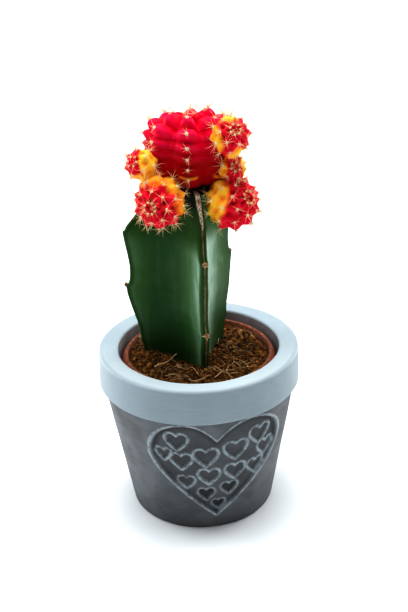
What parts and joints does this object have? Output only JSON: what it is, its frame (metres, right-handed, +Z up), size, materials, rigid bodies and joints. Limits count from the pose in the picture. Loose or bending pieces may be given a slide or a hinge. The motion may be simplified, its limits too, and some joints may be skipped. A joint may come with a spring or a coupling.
{
  "type": "grafted moon cactus in a pot",
  "caption": "Small grafted cactus: a red ribbed globe with spiny offsets on a three-winged green stem, in a nursery pot inside a cast pot with a heart relief.",
  "frame": {"origin": "centre of the pot's base, on the surface it stands on", "axes": "+Z up along the pot's axis; -Y towards the front, where the heart relief is turned about 11 degrees to +X"},
  "size_m": [0.0808, 0.0808, 0.1677],
  "materials": {
    "cast_pot": "matte cast cement grey, washed pale blue on the collar and relief edges",
    "terracotta_plastic": "matte moulded plastic",
    "coir_soil": "loose coarse coir and peat",
    "green_stem": "waxy satin green skin",
    "crimson_flesh": "waxy satin crimson skin",
    "offset_flesh": "waxy satin red skin with orange tubercles"
  },
  "bodies": {
    "root": {"pot": "cast_pot", "nursery_pot": "terracotta_plastic", "soil": "coir_soil", "rootstock": "green_stem", "mother_head": "crimson_flesh", "offset_left": "offset_flesh", "offset_lower_left": "offset_flesh", "offset_upper_right": "offset_flesh", "offset_mid_right": "offset_flesh", "offset_lower_right": "offset_flesh"}
  },
  "joints": []
}
